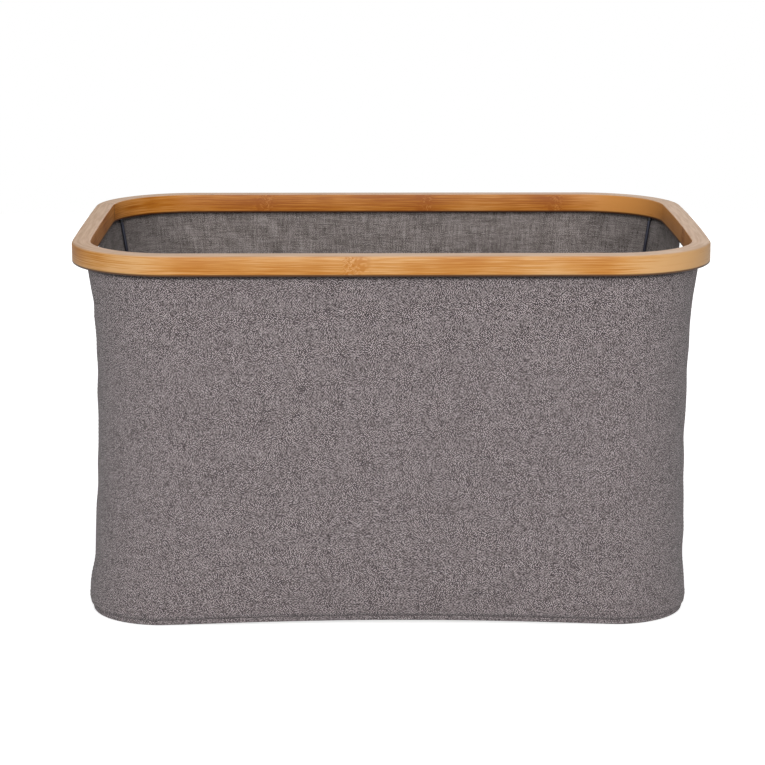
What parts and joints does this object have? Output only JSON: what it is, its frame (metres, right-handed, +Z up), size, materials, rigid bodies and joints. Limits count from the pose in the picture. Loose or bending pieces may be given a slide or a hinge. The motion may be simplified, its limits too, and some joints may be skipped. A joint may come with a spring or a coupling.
{
  "type": "laundry basket",
  "caption": "Open rectangular laundry basket with a bent bamboo rim, a fabric wall with hand openings under the rim, and fold-down steel support frames.",
  "frame": {"origin": "on the floor, at the middle of the base", "axes": "+X along the basket's length to its right end, +Y to the back, +Z up"},
  "size_m": [0.56, 0.412, 0.329],
  "materials": {
    "bamboo": "satin lacquered carbonised bamboo, grain along the band",
    "linen_cloth": "matt heathered plain weave",
    "lining": "matt heathered plain weave",
    "fibreboard": "raw dense board, hidden between cloths",
    "polished_rod": "polished plated steel wire",
    "staple_wire": "galvanised staple wire, hidden in the rim",
    "black_plastic": "black push-on collars"
  },
  "bodies": {
    "base": {"bottom_cloth": "linen_cloth", "base_board": "fibreboard", "floor_lining": "lining", "bottom_welt": "linen_cloth", "left_hinge_sleeve": "lining", "right_hinge_sleeve": "lining", "front_cloth": "linen_cloth", "back_cloth": "linen_cloth", "left_end_cloth": "linen_cloth", "right_end_cloth": "linen_cloth", "side_lining": "lining", "left_handle_binding": "linen_cloth", "right_handle_binding": "linen_cloth"},
    "rim": {"rim_outer_band": "bamboo", "rim_inner_band": "bamboo", "top_hem": "linen_cloth", "hem_staples": "staple_wire"},
    "left_frame": {"left_support_rod": "polished_rod", "left_rod_collars": "black_plastic"},
    "right_frame": {"right_support_rod": "polished_rod", "right_rod_collars": "black_plastic"}
  },
  "joints": [
    {"name": "rim_drop", "type": "slide", "parent": "base", "child": "rim", "axis": [0, 0, -1], "range_m": [0, 0.245], "deforming": ["front_cloth", "back_cloth", "left_end_cloth", "right_end_cloth", "side_lining", "left_handle_binding", "right_handle_binding"]},
    {"name": "left_frame_fold", "type": "hinge", "parent": "base", "child": "left_frame", "pos_m": [-0.212, 0, 0.00877], "axis": [0, 1, 0], "range_deg": [0, 98.9]},
    {"name": "right_frame_fold", "type": "hinge", "parent": "base", "child": "right_frame", "pos_m": [0.212, 0, 0.00877], "axis": [0, -1, 0], "range_deg": [0, 98.3]}
  ],
  "couplings": [
    {"joint": "left_frame_fold", "follows": "rim_drop", "rad_per_m": 7.04},
    {"joint": "right_frame_fold", "follows": "rim_drop", "rad_per_m": 7}
  ]
}
